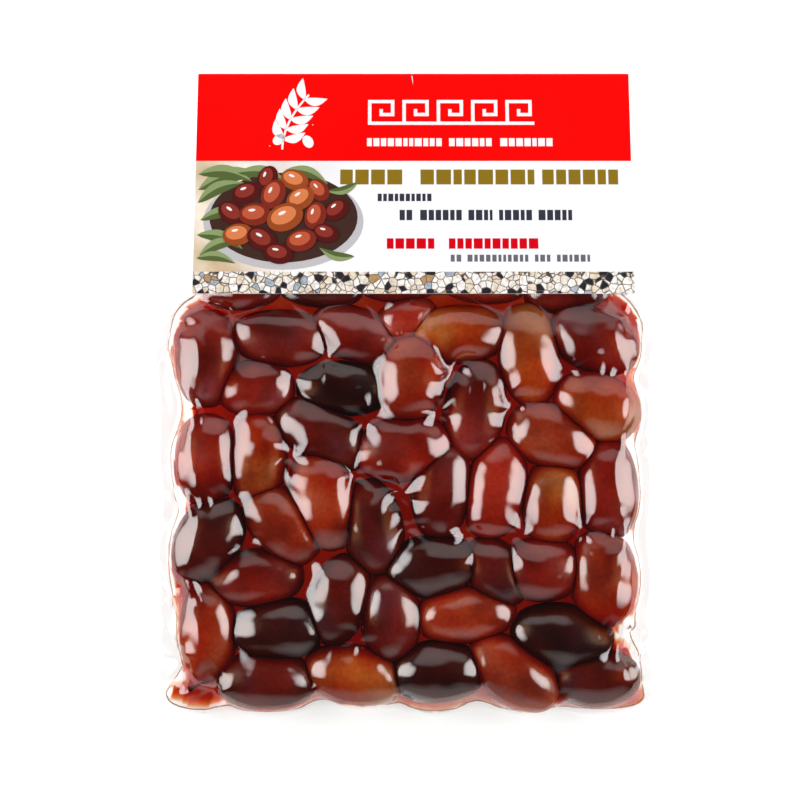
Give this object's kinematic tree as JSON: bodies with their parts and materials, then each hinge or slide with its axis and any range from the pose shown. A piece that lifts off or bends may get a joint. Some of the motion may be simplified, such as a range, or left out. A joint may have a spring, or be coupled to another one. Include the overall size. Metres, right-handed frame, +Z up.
{
  "type": "vacuum packed bag of olives",
  "caption": "Flat clear bag, vacuum sealed round a single layer of dark olives in red brine, with a folded header card over its top seal.",
  "frame": {"origin": "middle of the pack's outline in plan, at the height of the table it lies on", "axes": "+Z up from the table and out of the front, +Y along the pack to the fold of its header card, +X across it to the right"},
  "size_m": [0.1626, 0.2246, 0.0189],
  "materials": {
    "film": "gloss",
    "card": "satin",
    "olive": "gloss",
    "brine": "gloss",
    "stalk": "matte"
  },
  "bodies": {
    "root": {"olive_bag": "film", "header_card": "card"}
  },
  "joints": []
}
